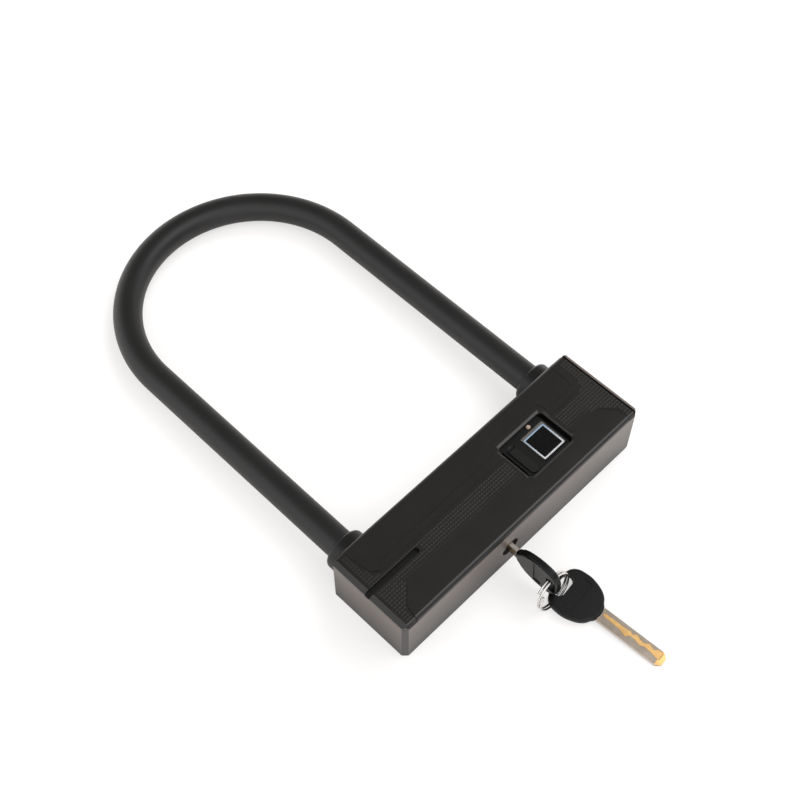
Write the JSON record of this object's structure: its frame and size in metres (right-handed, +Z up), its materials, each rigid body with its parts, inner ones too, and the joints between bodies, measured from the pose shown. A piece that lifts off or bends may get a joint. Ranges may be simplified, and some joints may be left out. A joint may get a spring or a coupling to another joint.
{
  "type": "u lock",
  "caption": "U lock with a box body, a sleeved round shackle, a fingerprint window with a charging port under a flap, and two keys on a split ring.",
  "frame": {"origin": "centre of the lock body's flat underside", "axes": "+X along the lock body, +Y from the body towards the shackle's bend, +Z up through the fingerprint window"},
  "size_m": [0.19, 0.413, 0.043],
  "materials": {
    "case_paint": "dark grey satin, brushed along the body",
    "cover_plastic": "near black, fine grain, studded band",
    "black_plastic": "black satin",
    "rubber": "black matt",
    "sleeve_rubber": "soft matt black",
    "light_plastic": "translucent white",
    "sensor_glass": "black coated glass",
    "lens_plastic": "warm white, clear",
    "steel": "satin",
    "brass": "machined",
    "plug_metal": "blackened",
    "circuit_board": "solder mask",
    "battery_wrap": "shrink film",
    "flex_film": "amber film",
    "key_nickel": "nickel plate, milled track",
    "bow_plastic": "fine grained black",
    "ring_chrome": "polished"
  },
  "bodies": {
    "lock_body": {"case": "case_paint", "base_plate": "case_paint", "base_screw_1": "steel", "base_screw_2": "steel", "base_screw_3": "steel", "base_screw_4": "steel", "top_cover": "cover_plastic", "cover_gasket": "rubber", "cover_screw_1": "steel", "cover_screw_2": "steel", "cover_screw_3": "steel", "cover_screw_4": "steel", "window_tray": "black_plastic", "sensor_bezel": "black_plastic", "light_ring": "light_plastic", "sensor_glass": "sensor_glass", "sensor_module": "steel", "sensor_board": "circuit_board", "status_lens": "lens_plastic", "charge_socket": "steel", "collar_left": "black_plastic", "collar_right": "black_plastic", "seal_left": "rubber", "seal_right": "rubber", "socket_left": "steel", "socket_right": "steel", "bolt_guide_left": "steel", "bolt_guide_right": "steel", "shaft_bush": "brass", "gear_plate": "steel", "bearing_plate": "steel", "motor": "steel", "gearbox": "brass", "cylinder_housing": "brass", "cylinder_saddle": "steel", "battery_tray": "black_plastic", "battery": "battery_wrap", "main_board": "circuit_board", "sensor_flex": "flex_film"},
    "shackle": {"shackle_core": "steel", "shackle_sleeve": "sleeve_rubber"},
    "plug": {"cylinder_plug": "plug_metal", "tail_piece": "steel", "slider_1": "brass", "slider_2": "brass", "slider_3": "brass", "slider_4": "brass", "sidebar": "steel"},
    "pinion": {"pinion_shaft": "steel", "drive_gear": "brass"},
    "motor_drive": {"motor_gear": "steel"},
    "bolt_right": {"bolt_right": "steel"},
    "bolt_left": {"bolt_left": "steel"},
    "flap": {"charge_flap": "rubber"},
    "key_1": {"key_1_blade": "key_nickel", "key_1_bow": "bow_plastic"},
    "ring": {"split_ring": "ring_chrome"},
    "key_2": {"key_2_blade": "key_nickel", "key_2_bow": "bow_plastic"}
  },
  "joints": [
    {"name": "shackle_slide", "type": "slide", "parent": "lock_body", "child": "shackle", "axis": [0, 1, 0], "range_m": [0, 0.06]},
    {"name": "key_turn", "type": "hinge", "parent": "lock_body", "child": "plug", "pos_m": [-0.012, 0, 0.017], "axis": [0, 1, 0], "range_deg": [0, 90]},
    {"name": "pinion_turn", "type": "hinge", "parent": "lock_body", "child": "pinion", "pos_m": [-0.012, 0, 0.017], "axis": [0, 1, 0], "range_deg": [0, 90]},
    {"name": "motor_turn", "type": "hinge", "parent": "lock_body", "child": "motor_drive", "pos_m": [0.00634, 0, 0.0155], "axis": [0, 1, 0], "range_deg": [-168.8, 0]},
    {"name": "bolt_right_slide", "type": "slide", "parent": "lock_body", "child": "bolt_right", "axis": [1, 0, 0], "range_m": [0, 0.0063]},
    {"name": "bolt_left_slide", "type": "slide", "parent": "lock_body", "child": "bolt_left", "axis": [-1, 0, 0], "range_m": [0, 0.0063]},
    {"name": "flap_hinge", "type": "hinge", "parent": "lock_body", "child": "flap", "pos_m": [0.0259, 0.0088, 0.035], "axis": [-1, 0, 0], "range_deg": [0, 100]},
    {"name": "key_pull", "type": "slide", "parent": "plug", "child": "key_1", "axis": [0, -1, 0], "range_m": [0, 0.043]},
    {"name": "ring_swing", "type": "hinge", "parent": "key_1", "child": "ring", "pos_m": [-0.0124, -0.0594, 0.0215], "axis": [-1, 0, 0], "range_deg": [0, 70]},
    {"name": "key_2_swing", "type": "hinge", "parent": "ring", "child": "key_2", "pos_m": [-0.005, -0.062, 0.001], "axis": [0, 0, 1], "range_deg": [0, 25]}
  ],
  "couplings": [
    {"joint": "pinion_turn", "follows": "key_turn", "ratio": 1},
    {"joint": "motor_turn", "follows": "key_turn", "ratio": -1.875},
    {"joint": "bolt_right_slide", "follows": "key_turn", "m_per_rad": 0.004},
    {"joint": "bolt_left_slide", "follows": "key_turn", "m_per_rad": 0.004}
  ]
}
